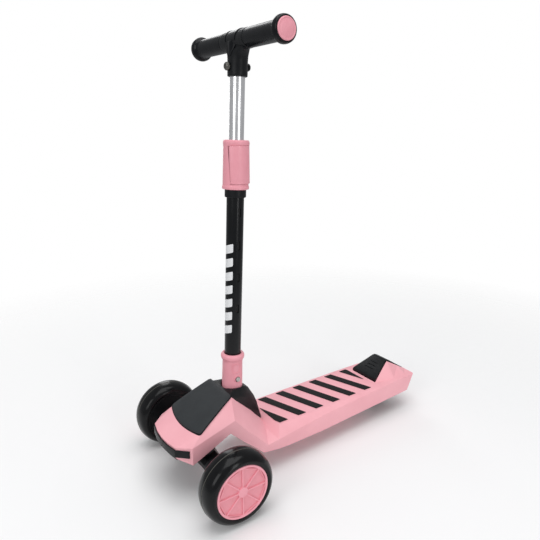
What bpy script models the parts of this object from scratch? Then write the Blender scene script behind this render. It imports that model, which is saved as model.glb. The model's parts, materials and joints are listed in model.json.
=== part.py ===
"""A child's three-wheeled kick scooter that is steered by leaning.

A moulded deck carries a leaning stem with a T handlebar that slides to set its height, a truck
with two large front wheels that tilts about an inclined kingpin, a small rear wheel and a foot
brake over it.  Lengths are in millimetres here and become metres as each mesh is made.  X points
to the rider's left, Y rearward and Z up.  Every place is measured from the ground under the middle
of the front axle, and one empty then moves the whole scooter so that the origin is on the ground
under its middle.
"""
import math

import bmesh
import bpy
from mathutils import Matrix, Vector

MM = 0.001
GAP = 0.3                     # air between pieces that touch

# Wheels
FRONT_R = 60.0
FRONT_W = 43.0
FRONT_OUTER_X = 150.0         # outer face of a front wheel
REAR_R = 40.0
REAR_W = 26.0
REAR_Y = 430.0
BEARING_R = 11.0              # 608 ball bearing: 22 outside, 8 bore, 7 wide
BEARING_W = 7.0
AXLE_R = 4.0

# Truck
KINGPIN_TILT = math.radians(35.0)      # the kingpin's top leans forward
KINGPIN_R = 4.0
HUB_BLOCK_X = 103.0                    # outer end of the truck beam
EYE_LOW = -15.8                        # bush seats in the beam, along the kingpin from the axle
EYE_HIGH = 8.8
BUSH_TOP = 16.0
BUSH_BOTTOM = -23.0
BUSH_R = 12.0
TRAY_SEAT = 16.3                       # where the upper bush meets the tray

# Stem
STEM_Y = 70.2                 # the stem's axis at STEM_Z
STEM_Z = 160.0
STEM_LEAN = math.radians(2.36)
OUTER_TUBE_R = 14.0
OUTER_TUBE_BORE = 12.3
INNER_TUBE_R = 11.6
INNER_TUBE_BORE = 10.2
COLLAR_Z = (148.1, 213.2)
BUSH_Z = (478.5, 490.9)
SLEEVE_Z = (491.2, 566.6)
SLOT_HALF_Y = 2.4
SLOT_HALF_Z = 7.5
SLOT_Z = (295.0, 348.5, 402.0, 455.5)
LOCK_Z = 529.0
COLLAR_SCREW_Z = 169.7
BUTTON_R = 21.6               # outside of the press panel
BUTTON_HALF_Y = 17.6
BUTTON_HALF_Z = 29.0
BUTTON_BACK_X = 8.9           # the panel's back edge
BUTTON_TRAVEL = 2.0

# Handlebar
BAR_Z = 709.4
BAR_HALF = 125.2
GRIP_R = 14.0
FLANGE_R = 18.5
CAP_R = 14.9
BAR_TUBE_R = 11.0
TEE_BOTTOM_Z = 658.5
TEE_BOLT_Z = 672.7
TEE_HALF = 33.0

# Deck
DECK_Z = 74.0
SHELL_WALL = 3.0
NOSE_Y = -65.0
TAIL_Y = 491.0
STRIP_FIRST_Y = 110.4         # front edge of the first strip at its right end
STRIP_PITCH = 41.9
STRIP_W = 17.5
STRIP_SLANT = 31.0
STRIP_HALF = 44.5
STRIP_SPAN_Y = (137.4, 381.0)
STRIP_COUNT = 7
STRIP_T = 1.0
BUMPER_T = 1.6

# Foot brake
BRAKE_HINGE = (0.0, 395.0, 70.5)
BRAKE_PIN_R = 2.0
SHOE_Z = 83.0                 # underside of the shoe, over the rear tyre

CENTRE_Y = (NOSE_Y - GAP - BUMPER_T + TAIL_Y) / 2

KINGPIN_DIR = Vector((0.0, -math.sin(KINGPIN_TILT), math.cos(KINGPIN_TILT)))
STEM_DIR = Vector((0.0, math.sin(STEM_LEAN), math.cos(STEM_LEAN)))
X_DIR = Vector((1.0, 0.0, 0.0))
Y_DIR = Vector((0.0, 1.0, 0.0))
AXLE = Vector((0.0, 0.0, FRONT_R))
REAR_AXLE = Vector((0.0, REAR_Y, REAR_R))


# ---------------------------------------------------------------- materials

def material(name, colour, roughness, metallic=0.0):
    mat = bpy.data.materials.new(name)
    mat.use_nodes = True
    shader = mat.node_tree.nodes["Principled BSDF"]
    shader.inputs["Base Color"].default_value = (*colour, 1.0)
    shader.inputs["Roughness"].default_value = roughness
    shader.inputs["Metallic"].default_value = metallic
    return mat


def make_materials():
    return {
        "pink_shell": material("pink_shell", (0.93, 0.47, 0.52), 0.4),
        "pink_trim": material("pink_trim", (0.90, 0.42, 0.48), 0.4),
        "hood_grey": material("hood_grey", (0.045, 0.05, 0.055), 0.5),
        "black_plastic": material("black_plastic", (0.014, 0.015, 0.017), 0.45),
        "black_rubber": material("black_rubber", (0.02, 0.02, 0.021), 0.75),
        "grip_rubber": material("grip_rubber", (0.012, 0.013, 0.015), 0.4),
        "black_paint": material("black_paint", (0.01, 0.011, 0.013), 0.3),
        "silver_tube": material("silver_tube", (0.8, 0.8, 0.81), 0.2, 1.0),
        "smoke_tyre": material("smoke_tyre", (0.016, 0.018, 0.02), 0.25),
        "red_core": material("red_core", (0.25, 0.01, 0.015), 0.35),
        "steel": material("steel", (0.55, 0.54, 0.52), 0.3, 1.0),
    }


# ---------------------------------------------------------------- mesh tools

def pivot_at(name, place, parent=None):
    """An empty on a joint's axis; moving pieces hang from it."""
    empty = bpy.data.objects.new(name, None)
    empty["place"] = [float(value) for value in place]
    parent_place = Vector(parent["place"]) if parent else Vector((0.0, 0.0, 0.0))
    empty.location = (Vector(place) - parent_place) * MM
    empty.parent = parent
    bpy.context.scene.collection.objects.link(empty)
    return empty


def finish(name, bm, mat, pivot, smooth_angle=35.0):
    """Turn a mesh built in the axle's frame into an object that hangs from its pivot."""
    bmesh.ops.recalc_face_normals(bm, faces=bm.faces[:])
    bm.transform(Matrix.Scale(MM, 4) @ Matrix.Translation(-Vector(pivot["place"])))
    mesh = bpy.data.meshes.new(name)
    bm.to_mesh(mesh)
    bm.free()
    mesh.shade_smooth()
    mesh.set_sharp_from_angle(angle=math.radians(smooth_angle))
    obj = bpy.data.objects.new(name, mesh)
    if mat:
        mesh.materials.append(mat)
    obj.parent = pivot
    bpy.context.scene.collection.objects.link(obj)
    return obj


def side_axes(axis):
    """Two directions square to an axis; the first lies in the plane X = 0 where it can."""
    reference = X_DIR if abs(axis.x) < 0.9 else Y_DIR
    second = axis.cross(reference).normalized()
    first = second.cross(axis).normalized()
    return first, second


def turned(name, profile, centre, axis, mat, pivot, segments=20):
    """Turn (radius, along) points about an axis; ends on the axis close the shape, others ring."""
    first, second = side_axes(axis)
    bm = bmesh.new()
    rings = []
    for radius, along in profile:
        middle = Vector(centre) + axis * along
        if radius == 0.0:
            rings.append([bm.verts.new(middle)])
            continue
        ring = []
        for step in range(segments):
            turn = 2 * math.pi * step / segments
            ring.append(bm.verts.new(middle + radius * (math.cos(turn) * first + math.sin(turn) * second)))
        rings.append(ring)
    pairs = list(zip(rings, rings[1:]))
    if len(rings[0]) > 1:
        pairs.append((rings[-1], rings[0]))
    for low, high in pairs:
        for step in range(segments):
            after = (step + 1) % segments
            corners = [low[step % len(low)], low[after % len(low)],
                       high[after % len(high)], high[step % len(high)]]
            unique = list(dict.fromkeys(corners))
            bm.faces.new(unique)
    return finish(name, bm, mat, pivot)


def lofted(name, rings, mat, pivot, smooth_angle=35.0):
    """Skin closed rings of points one after the other and close both ends."""
    bm = bmesh.new()
    loops = [[bm.verts.new(point) for point in ring] for ring in rings]
    count = len(loops[0])
    for low, high in zip(loops, loops[1:]):
        for step in range(count):
            after = (step + 1) % count
            bm.faces.new([low[step], low[after], high[after], high[step]])
    bm.faces.new(loops[0])
    bm.faces.new(loops[-1])
    return finish(name, bm, mat, pivot, smooth_angle)


def extruded(name, outline, offset, mat, pivot):
    """Push a flat outline along an offset into a solid."""
    return lofted(name, [outline, [Vector(point) + Vector(offset) for point in outline]], mat, pivot)


def rod(name, centre, axis, low, high, radius, mat, pivot, segments=20, chamfer=0.0):
    """A solid round bar from low to high along its axis."""
    if chamfer:
        profile = [(0.0, low), (radius - chamfer, low), (radius, low + chamfer),
                   (radius, high - chamfer), (radius - chamfer, high), (0.0, high)]
    else:
        profile = [(0.0, low), (radius, low), (radius, high), (0.0, high)]
    return turned(name, profile, centre, axis, mat, pivot, segments)


def sleeve(name, centre, axis, low, high, bore, radius, mat, pivot, segments=20):
    """A plain ring or tube."""
    profile = [(radius, low), (radius, high), (bore, high), (bore, low)]
    return turned(name, profile, centre, axis, mat, pivot, segments)


def hex_nut(name, centre, axis, low, high, shaft, corner, mat, pivot):
    """A six-sided nut whose flat-sided hole just clears its shaft."""
    bore = (shaft + GAP) / math.cos(math.pi / 6)
    return sleeve(name, centre, axis, low, high, bore, corner, mat, pivot, 6)


def combine(target, tool, operation):
    """Cut a tool from its target, or weld it on, and hide the tool."""
    modifier = target.modifiers.new(operation.lower(), "BOOLEAN")
    modifier.operation = operation
    modifier.object = tool
    tool.hide_render = True
    tool.display_type = "WIRE"


def cut_hole(target, centre, axis, low, high, radius, pivot, segments=12):
    """Drill a round hole through a target."""
    name = f"{target.name}_drill_{len(target.modifiers)}"
    combine(target, rod(name, centre, axis, low, high, radius, None, pivot, segments), "DIFFERENCE")


def box_outline(x_low, x_high, y_low, y_high, z):
    return [(x_low, y_low, z), (x_high, y_low, z), (x_high, y_high, z), (x_low, y_high, z)]


def box(name, low, high, mat, pivot):
    outline = box_outline(low[0], high[0], low[1], high[1], low[2])
    return extruded(name, outline, (0, 0, high[2] - low[2]), mat, pivot)


def mirrored(row):
    """A full row across the scooter from its left half, whose first point is on the middle."""
    other = [(-x, y, z) for x, y, z in reversed(row[1:])]
    return other + list(row)


def stem_point(height):
    return Vector((0.0, STEM_Y + math.tan(STEM_LEAN) * (height - STEM_Z), height))


def along_stem(height):
    """Distance along the stem's axis from its reference point to a height."""
    return (height - STEM_Z) / math.cos(STEM_LEAN)


STEM_BASE = stem_point(STEM_Z)


# ---------------------------------------------------------------- deck shell

# Rows across the shell from nose to tail.  Each gives the left half: middle, quarter, edge of the
# top panel, shoulder and lower rim.
NOSE_ROW = [(0, -65, 98), (21, -63.5, 98), (42, -59, 98.5), (61, -38.5, 99.5), (61, -38.5, 69)]
HOOD_FRONT_ROW = [(0, -31, 110.3), (29, -28.6, 111.3), (54, -21, 113.3), (61, -20, 104.6), (61, -20, 77.4)]
HOOD_MIDDLE_ROW = [(0, 12, 134.3), (23, 12, 134.0), (45.5, 12, 132.6), (60.5, 11, 113.3), (60.5, 8, 90.0)]
PEAK_ROW = [(0, 46, 152.5), (18, 46, 152.4), (37, 46, 152), (60, 39.5, 121.2), (60, 31, 100.4)]
SHELL_ROWS = [
    NOSE_ROW,
    HOOD_FRONT_ROW,
    HOOD_MIDDLE_ROW,
    PEAK_ROW,
    [(0, 70, 128.2), (13.4, 70, 128.2), (26.8, 70, 128), (62, 62, 95.5), (62.2, 56, 76.5)],
    [(0, 97, 101), (7.6, 97, 101), (15.3, 97, 100.7), (64, 82, 75.5), (64.2, 75, 59.5)],
    [(0, 129, 66), (14, 126, 65.4), (29, 121, 63.8), (66, 101.6, 55), (66, 93, 43.6)],
    [(0, 137, DECK_Z), (24, 137, DECK_Z), (48, 137, 73.2), (65.2, 126, 57.2), (65.4, 121, 38.5)],
    [(0, 150, DECK_Z), (24, 150, DECK_Z), (49, 150, 73.8), (64.2, 150, 59.4), (64.2, 150, 36.2)],
    [(0, 232, DECK_Z), (25, 232, DECK_Z), (50, 232, DECK_Z), (61, 232, 66.6), (61, 232, 34.5)],
    [(0, 350, DECK_Z), (25, 350, DECK_Z), (49, 350, DECK_Z), (56.3, 350, 71), (56.3, 350, 36.5)],
    [(0, 388, DECK_Z), (34, 388, DECK_Z), (47.5, 388, DECK_Z), (54.6, 388, 72.2), (54.6, 388, 37.6)],
    [(0, 437, 104.5), (20.6, 437, 104.5), (44, 437, 74.4), (52.5, 437, 73.2), (52.5, 437, 39)],
    [(0, 470, 86.4), (21, 470, 86.4), (45.2, 470, 74.4), (51, 470, 73.6), (51, 463, 39.3)],
    [(0, TAIL_Y, 74.6), (21, TAIL_Y, 74.6), (45.8, 490.5, 74.2), (49.8, 489.5, 73.6), (50, 474, 39.4)],
]
NOSE_RIM = [(0, -62.5, 77), (21, -61, 77), (42, -57, 77)]
TAIL_RIM = [(0, 475, 39.4), (21, 475, 39.4), (45, 474.7, 39.4)]


def end_wall(bm, top, rim_points):
    """Close the nose or the tail: faces from the end row's top points down to a lower rim."""
    shoulders = top[1:-1]
    lower = [top[0]] + [bm.verts.new(point) for point in mirrored(rim_points)] + [top[-1]]
    for step in range(len(shoulders) - 1):
        bm.faces.new([shoulders[step], shoulders[step + 1], lower[step + 1], lower[step]])


def make_deck_shell(mats, root):
    bm = bmesh.new()
    rows = [[bm.verts.new(point) for point in mirrored(row)] for row in SHELL_ROWS]
    for front, back in zip(rows, rows[1:]):
        for step in range(len(front) - 1):
            bm.faces.new([front[step], back[step], back[step + 1], front[step + 1]])
    end_wall(bm, rows[0], NOSE_RIM)
    end_wall(bm, rows[-1], TAIL_RIM)
    bmesh.ops.triangulate(bm, faces=bm.faces[:])
    shell = finish("deck_shell", bm, mats["pink_shell"], root)
    wall = shell.modifiers.new("wall", "SOLIDIFY")
    wall.thickness = SHELL_WALL * MM
    wall.offset = -1.0
    wall.use_even_offset = True
    clearance = housing_body("housing_clearance", GAP + 0.1, 3 * HOUSING_DEPTH, None, root)
    combine(shell, clearance, "DIFFERENCE")
    combine(shell, pedal_body("pedal_clearance", 1.2, 30.0, None, root), "DIFFERENCE")
    return shell


# ---------------------------------------------------------------- nose and housing

def make_hood(mats, root):
    """The grey hood panel lies on the sloping top of the nose."""
    up = Vector((0.0, -math.sin(math.radians(30.0)), math.cos(math.radians(30.0))))
    rows = [mirrored(row[:3]) for row in (HOOD_FRONT_ROW, HOOD_MIDDLE_ROW, PEAK_ROW)]
    rings = []
    for row in rows:
        lower = [Vector(point) + up * 2 * GAP for point in row]
        upper = [Vector(point) + up * 2.4 for point in reversed(row)]
        rings.append(lower + upper)
    return lofted("hood_panel", rings, mats["hood_grey"], root)


# Sections across the black stem housing: place along Y, half width and height where it meets the
# shell, half width and height of its top.
HOUSING_SECTIONS = [
    (47.5, 35.5, 150.6, 30.0, 153.0),
    (56.0, 32.7, 142.0, 24.0, 155.0),
    (70.0, 26.8, 128.0, 21.5, 154.5),
    (84.0, 20.8, 113.8, 16.0, 152.0),
    (97.0, 15.3, 100.6, 8.0, 143.0),
    (112.0, 8.9, 85.4, 3.5, 120.2),
    (119.0, 6.0, 78.3, 2.2, 104.5),
    (129.0, 1.0, 66.8, 0.7, 71.5),
]
HOUSING_DEPTH = 3.2


def housing_body(name, grow, depth, mat, root):
    rings = []
    for y, base_half, base_z, top_half, top_z in HOUSING_SECTIONS:
        half = base_half + grow
        floor = base_z - depth
        top = top_half + grow
        bulge = (half + top) / 2 + 0.12 * (top_z - base_z)
        middle = (base_z + top_z) / 2
        left = [(half, y, floor), (half, y, base_z), (bulge, y, middle), (top, y, top_z + grow)]
        rings.append(left + [(-x, py, z) for x, py, z in reversed(left)])
    return lofted(name, rings, mat, root)


def make_stem_housing(mats, root):
    housing = housing_body("stem_housing", 0.0, HOUSING_DEPTH, mats["black_plastic"], root)
    cut_hole(housing, STEM_BASE, STEM_DIR, along_stem(COLLAR_Z[0] - GAP), along_stem(190), 20.2, root, 24)
    post_hole = OUTER_TUBE_BORE + 0.1
    cut_hole(housing, STEM_BASE, STEM_DIR, along_stem(90), along_stem(190), post_hole, root, 24)
    return housing


def make_bumper_strip(mats, root):
    """A black strip lies on the bent front face and stops short of the corners."""
    face = [(-58, -41.8), (-42, -59), (-21, -63.5), (0, -65), (21, -63.5), (42, -59), (58, -41.8)]
    inner = [(x * 1.004, y - GAP, 81.5) for x, y in face]
    outer = [(x * 1.004, y - GAP - BUMPER_T, 81.5) for x, y in reversed(face)]
    return extruded("bumper_strip", inner + outer, (0, 0, 13.2), mats["black_plastic"], root)


def make_undertray(mats, root):
    """The black tray closes the nose from below and holds the kingpin's inclined seat."""
    plan = [(0, -61.2), (20, -59.8), (38.0, -56.4), (39.4, -53.8),
            (56.0, -37.0), (56.8, -8), (46, 9), (24, 12)]
    outline = [(x, y, 73.0) for x, y in plan] + [(-x, y, 73.0) for x, y in reversed(plan[1:])]
    tray = extruded("nose_undertray", outline, (0, 0, 3.6), mats["black_plastic"], root)
    seat = rod("kingpin_seat", AXLE, KINGPIN_DIR, 14.0, 27.0, 13.0, None, root)
    combine(tray, seat, "UNION")
    bolt_hole = KINGPIN_R + GAP
    cup = BUSH_R + 1.6
    steps = [(0.0, -22.0), (17.0, -22.0), (17.0, 10.4), (cup, 10.4), (cup, TRAY_SEAT),
             (bolt_hole, TRAY_SEAT), (bolt_hole, 40.0), (0.0, 40.0)]
    combine(tray, turned("kingpin_clearance", steps, AXLE, KINGPIN_DIR, None, root, 24), "DIFFERENCE")
    return tray


# ---------------------------------------------------------------- grip strips

def clipped(outline, limit, keep_behind):
    """Cut a flat outline along a line square to Y."""
    side = 1.0 if keep_behind else -1.0
    kept = []
    for start, end in zip(outline, outline[1:] + outline[:1]):
        before = side * (start[1] - limit)
        after = side * (end[1] - limit)
        if before >= 0:
            kept.append(start)
        if before * after < 0:
            share = before / (before - after)
            kept.append(tuple(a + share * (b - a) for a, b in zip(start, end)))
    return kept


def make_grip_strips(mats, root):
    """Slanted rubber strips on the deck; the first and last are cut square to the deck."""
    for number in range(STRIP_COUNT):
        right = STRIP_FIRST_Y + number * STRIP_PITCH
        left = right + STRIP_SLANT
        z = DECK_Z + GAP
        outline = [(-STRIP_HALF, right, z), (STRIP_HALF, left, z),
                   (STRIP_HALF, left + STRIP_W, z), (-STRIP_HALF, right + STRIP_W, z)]
        outline = clipped(outline, STRIP_SPAN_Y[0], True)
        outline = clipped(outline, STRIP_SPAN_Y[1], False)
        extruded(f"grip_strip_{number + 1}", outline, (0, 0, STRIP_T), mats["black_rubber"], root)


# ---------------------------------------------------------------- stem

def make_stem(mats, root):
    post = rod("stem_post", STEM_BASE, STEM_DIR, along_stem(128), along_stem(200), OUTER_TUBE_BORE - GAP,
               mats["steel"], root)
    cut_hole(post, stem_point(COLLAR_SCREW_Z), X_DIR, 6.0, 20.0, 2.5, root)

    ring = along_stem(COLLAR_Z[1])
    foot = along_stem(COLLAR_Z[0])
    bore = OUTER_TUBE_R + GAP
    profile = [(bore, foot), (17.2, foot), (17.8, foot + 2), (17.2, ring - 12.5), (18.8, ring - 10.5),
               (20.2, ring - 7), (20.2, ring - 4), (18.8, ring - 1), (17.0, ring), (bore, ring - 0.5)]
    collar = turned("stem_collar", profile, STEM_BASE, STEM_DIR, mats["pink_trim"], root, 24)
    boss = rod("collar_boss", stem_point(COLLAR_SCREW_Z), X_DIR, 15.0, 18.6, 6.0, None, root, 20)
    combine(collar, boss, "UNION")
    cut_hole(collar, stem_point(COLLAR_SCREW_Z), X_DIR, 5.0, 30.0, 2.5, root)

    tube = sleeve("outer_tube", STEM_BASE, STEM_DIR, along_stem(152), along_stem(556), OUTER_TUBE_BORE,
                  OUTER_TUBE_R, mats["black_paint"], root, 24)
    for height in SLOT_Z:
        place = stem_point(height)
        low = (10.5, place.y - SLOT_HALF_Y, height - SLOT_HALF_Z)
        high = (18.0, place.y + SLOT_HALF_Y, height + SLOT_HALF_Z)
        combine(tube, box(f"slot_{int(height)}", low, high, None, root), "DIFFERENCE")
    cut_hole(tube, stem_point(LOCK_Z), X_DIR, 10.0, 20.0, 3.0, root)
    cut_hole(tube, stem_point(COLLAR_SCREW_Z), X_DIR, 10.0, 20.0, 2.5, root)
    sleeve("tube_top_bush", STEM_BASE, STEM_DIR, along_stem(BUSH_Z[0]), along_stem(BUSH_Z[1]),
           OUTER_TUBE_R + GAP, 17.1, mats["black_plastic"], root, 24)

    screw_profile = [(0.0, 8.0), (2.1, 8.0), (2.1, 18.9), (4.4, 18.9), (4.4, 20.2), (3.4, 21.3), (0.0, 21.7)]
    turned("collar_screw", screw_profile, stem_point(COLLAR_SCREW_Z), X_DIR, mats["steel"], root, 20)


def make_clamp_sleeve(mats, root):
    low = along_stem(SLEEVE_Z[0])
    high = along_stem(SLEEVE_Z[1])
    wide = OUTER_TUBE_R + GAP
    narrow = INNER_TUBE_R + GAP
    profile = [(wide, low), (20.6, low), (21.4, low + 1), (21.4, low + 4.5), (20.6, low + 6),
               (20.2, high - 9), (20.8, high - 6), (20.8, high - 3), (19.2, high), (narrow, high),
               (narrow, high - 8), (wide, high - 8)]
    body = turned("clamp_sleeve", profile, STEM_BASE, STEM_DIR, mats["pink_trim"], root, 24)
    place = stem_point(LOCK_Z)
    half_y = BUTTON_HALF_Y + GAP
    half_z = BUTTON_HALF_Z + GAP
    low_corner = (BUTTON_BACK_X - BUTTON_TRAVEL - GAP, place.y - half_y, LOCK_Z - half_z)
    high_corner = (30.0, place.y + half_y, LOCK_Z + half_z)
    combine(body, box("button_window", low_corner, high_corner, None, root), "DIFFERENCE")


def make_height_button(mats, root):
    """The press panel wraps the sleeve's left side and carries the pusher that meets the lock pin."""
    place = stem_point(LOCK_Z)
    pivot = pivot_at("height_button_axis", place, root)
    depth = math.sqrt(BUTTON_R ** 2 - BUTTON_HALF_Y ** 2) - BUTTON_BACK_X
    steps = 12
    outer = []
    for step in range(steps + 1):
        y = -BUTTON_HALF_Y + 2 * BUTTON_HALF_Y * step / steps
        outer.append((math.sqrt(BUTTON_R ** 2 - y * y), place.y + y, LOCK_Z - BUTTON_HALF_Z))
    inner = [(x - depth, y, z) for x, y, z in reversed(outer)]
    button = extruded("height_button", outer + inner, (0, 0, 2 * BUTTON_HALF_Z), mats["pink_trim"], pivot)
    pusher = rod("button_pusher", place, X_DIR, OUTER_TUBE_R + GAP, 18.8, 2.4, None, pivot, 16)
    combine(button, pusher, "UNION")


# ---------------------------------------------------------------- handlebar

def make_inner_tube(mats, bar):
    tube = sleeve("inner_tube", STEM_BASE, STEM_DIR, along_stem(330), along_stem(696), INNER_TUBE_BORE,
                  INNER_TUBE_R, mats["silver_tube"], bar, 24)
    cut_hole(tube, stem_point(LOCK_Z), X_DIR, 6.0, 20.0, 2.8, bar)
    cut_hole(tube, stem_point(TEE_BOLT_Z), Y_DIR, -20.0, 20.0, 2.9, bar)
    plug = [(0.0, along_stem(320)), (11.0, along_stem(320)), (12.0, along_stem(322)), (12.0, along_stem(329.7)),
            (INNER_TUBE_BORE - GAP, along_stem(329.7)), (INNER_TUBE_BORE - GAP, along_stem(348)),
            (0.0, along_stem(348))]
    turned("tube_guide_plug", plug, STEM_BASE, STEM_DIR, mats["black_plastic"], bar)

    pin = [(0.0, 2.0), (2.4, 2.0), (2.4, 10.5), (1.6, 11.2), (0.0, INNER_TUBE_R - 0.2)]
    turned("lock_pin", pin, stem_point(LOCK_Z), X_DIR, mats["steel"], bar, 16)
    place = stem_point(LOCK_Z)
    leaf = [(1.4, 10), (0.6, -4), (-7.6, 24), (-8.2, 23.6), (0.3, -6.4), (2.0, -6.4), (2.0, 10)]
    outline = [(x - 0.6, place.y - 3.0, LOCK_Z - 4 + z) for x, z in leaf]
    extruded("lock_spring", outline, (0, 6.0, 0), mats["steel"], bar)


def tee_section(height, half_x, half_y, count=20):
    middle = stem_point(height)
    return [middle + Vector((half_x * math.cos(2 * math.pi * step / count),
                             half_y * math.sin(2 * math.pi * step / count), 0.0)) for step in range(count)]


def make_tee(mats, bar):
    """The T moulding: a socket on the inner tube that flares into a saddle round the bar."""
    rings = [tee_section(TEE_BOTTOM_Z, 15.2, 15.2), tee_section(TEE_BOTTOM_Z + 1.5, 15.6, 15.6),
             tee_section(682, 15.6, 15.4), tee_section(691, 17.5, 15.0), tee_section(698, 22.0, 13.5),
             tee_section(703, 29.0, 10.5)]
    tee = lofted("handle_tee", rings, mats["black_plastic"], bar)
    bar_middle = stem_point(BAR_Z)
    saddle_profile = [(0.0, -TEE_HALF), (14.2, -TEE_HALF), (15.2, -TEE_HALF + 1.5), (15.2, TEE_HALF - 1.5),
                      (14.2, TEE_HALF), (0.0, TEE_HALF)]
    saddle = turned("tee_saddle", saddle_profile, bar_middle, X_DIR, None, bar, 24)
    combine(tee, saddle, "UNION")
    cut_hole(tee, bar_middle, X_DIR, -60.0, 60.0, BAR_TUBE_R + GAP, bar, 24)
    cut_hole(tee, STEM_BASE, STEM_DIR, along_stem(640), along_stem(700), INNER_TUBE_R + GAP, bar, 24)
    cut_hole(tee, stem_point(TEE_BOLT_Z), Y_DIR, -30.0, 30.0, 2.9, bar)

    front = bar_middle + Vector((0.0, -15.2 - GAP, 0.0))
    plan = [(-12, 6), (-4, -24), (0, -28), (4, -24), (12, 6), (6, 9.5), (-6, 9.5)]
    outline = [(x, front.y - 1.6 + 0.045 * (z - 10), front.z + z) for x, z in plan]
    extruded("handle_front_trim", outline, (0, -1.4, 0), mats["black_plastic"], bar)


def make_bar(mats, bar):
    middle = stem_point(BAR_Z)
    sleeve("bar_tube", middle, X_DIR, -112.0, 112.0, 9.4, BAR_TUBE_R, mats["steel"], bar)
    bore = BAR_TUBE_R + GAP
    start = TEE_HALF + GAP
    grip = [(bore, start), (13.6, start), (GRIP_R, start + 1), (GRIP_R, 108.0), (16.0, 109.5), (FLANGE_R, 112.5),
            (FLANGE_R + 0.2, 116.0), (FLANGE_R, 119.5), (16.8, 122.0), (CAP_R + GAP, 122.0), (CAP_R + GAP, 117.0),
            (bore, 117.0)]
    cap = [(0.0, 114.0), (8.6, 114.0), (8.6, 117.5), (CAP_R, 117.5), (CAP_R, 123.0), (13.6, 124.4), (9.0, BAR_HALF),
           (0.0, BAR_HALF)]
    for side, sign in (("left", 1.0), ("right", -1.0)):
        turned(f"grip_{side}", grip, middle, sign * X_DIR, mats["grip_rubber"], bar, 24)
        turned(f"end_cap_{side}", cap, middle, sign * X_DIR, mats["pink_trim"], bar, 24)

    bolt = [(0.0, -21.6), (4.4, -21.6), (5.8, -20.2), (5.8, -16.2), (2.6, -16.2), (2.6, 20.6), (0.0, 20.6)]
    turned("tee_bolt", bolt, stem_point(TEE_BOLT_Z), Y_DIR, mats["steel"], bar, 18)
    nut = [(2.6 + GAP, 16.2), (5.6, 16.2), (5.6, 19.4), (4.6, 20.8), (2.6 + GAP, 20.8)]
    turned("tee_nut", nut, stem_point(TEE_BOLT_Z), Y_DIR, mats["black_plastic"], bar, 18)


# ---------------------------------------------------------------- truck

def beam_section(x, y_half, z_low, z_high):
    """A section of the truck beam with its corners cut."""
    chamfer = 0.32 * (z_high - z_low)
    return [(x, -y_half, z_low + chamfer), (x, -y_half, z_high - chamfer), (x, -y_half + chamfer, z_high),
            (x, y_half - chamfer, z_high), (x, y_half, z_high - chamfer), (x, y_half, z_low + chamfer),
            (x, y_half - chamfer, z_low), (x, -y_half + chamfer, z_low)]


def make_truck(mats, truck):
    half = [(0, 19, 42, 68), (24, 19, 42, 68), (40, 18, 43, 65), (58, 18, 44, 64.5), (68, 20, 42, 72),
            (78, 21, 40, 77), (HUB_BLOCK_X - 3, 20, 42, 77), (HUB_BLOCK_X, 18, 45, 74)]
    left = [beam_section(*row) for row in half]
    right = [beam_section(-row[0], *row[1:]) for row in reversed(half[1:])]
    beam = lofted("truck_beam", right + left, mats["black_plastic"], truck)
    eye = rod("kingpin_eye", AXLE, KINGPIN_DIR, EYE_LOW - 0.2, EYE_HIGH + 0.2, 15.0, None, truck)
    combine(beam, eye, "UNION")
    bore = KINGPIN_R + GAP
    seat = BUSH_R + 2 * GAP
    steps = [(0.0, -45.0), (seat, -45.0), (seat, EYE_LOW), (bore, EYE_LOW), (bore, EYE_HIGH), (seat, EYE_HIGH),
             (seat, 45.0), (0.0, 45.0)]
    combine(beam, turned("kingpin_bore", steps, AXLE, KINGPIN_DIR, None, truck, 24), "DIFFERENCE")
    for side, sign in (("left", 1.0), ("right", -1.0)):
        cut_hole(beam, AXLE, sign * X_DIR, 71.5, 120.0, AXLE_R + GAP, truck)
        bolt = [(0.0, 72.0), (AXLE_R, 72.0), (AXLE_R, 141.3), (7.0, 141.3), (7.0, 144.6), (5.6, 145.6),
                (0.0, 145.6)]
        turned(f"axle_bolt_{side}", bolt, AXLE, sign * X_DIR, mats["steel"], truck, 20)
    for level, low, high in (("upper", EYE_HIGH + GAP, BUSH_TOP), ("lower", BUSH_BOTTOM, EYE_LOW - GAP)):
        sleeve(f"kingpin_bush_{level}", AXLE, KINGPIN_DIR, low, high, bore, BUSH_R, mats["black_rubber"], truck)


def make_kingpin(mats, root):
    under_head = BUSH_BOTTOM - GAP
    bolt = [(0.0, -30.0), (6.4, -30.0), (8.0, -28.4), (8.0, under_head), (KINGPIN_R, under_head),
            (KINGPIN_R, 35.0), (0.0, 35.0)]
    turned("kingpin_bolt", bolt, AXLE, KINGPIN_DIR, mats["steel"], root, 24)
    hex_nut("kingpin_nut", AXLE, KINGPIN_DIR, 27.3, 34.0, KINGPIN_R, 7.8, mats["steel"], root)


# ---------------------------------------------------------------- wheels

def tyre_profile(radius, width, bore):
    """A rounded tyre section, from its inner rim over the tread and back."""
    half = width / 2
    wall = radius - bore
    side = [(bore, half - 0.6), (bore + 0.3 * wall, half), (bore + 0.68 * wall, 0.84 * half),
            (bore + 0.92 * wall, 0.52 * half)]
    return side + [(radius, 0.0)] + [(r, -x) for r, x in reversed(side)]


def core_profile(rim, half_rim, half_web, half_hub):
    """A wheel core: bearing seats with a spacer land between them, a web and a rim."""
    seat = BEARING_R + GAP
    land = half_hub - BEARING_W - GAP
    left = [(rim, half_rim), (rim - 3.5, half_rim), (rim - 4.5, half_web), (seat + 4.5, half_web),
            (seat + 3.5, half_hub), (seat, half_hub), (seat, land), (seat - 2.0, land)]
    return left + [(r, -x) for r, x in reversed(left)]


def make_bearing(name, centre, axis, low, mats, pivot):
    sleeve(name, centre, axis, low, low + BEARING_W, AXLE_R + GAP, BEARING_R, mats["steel"], pivot, 16)


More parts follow.
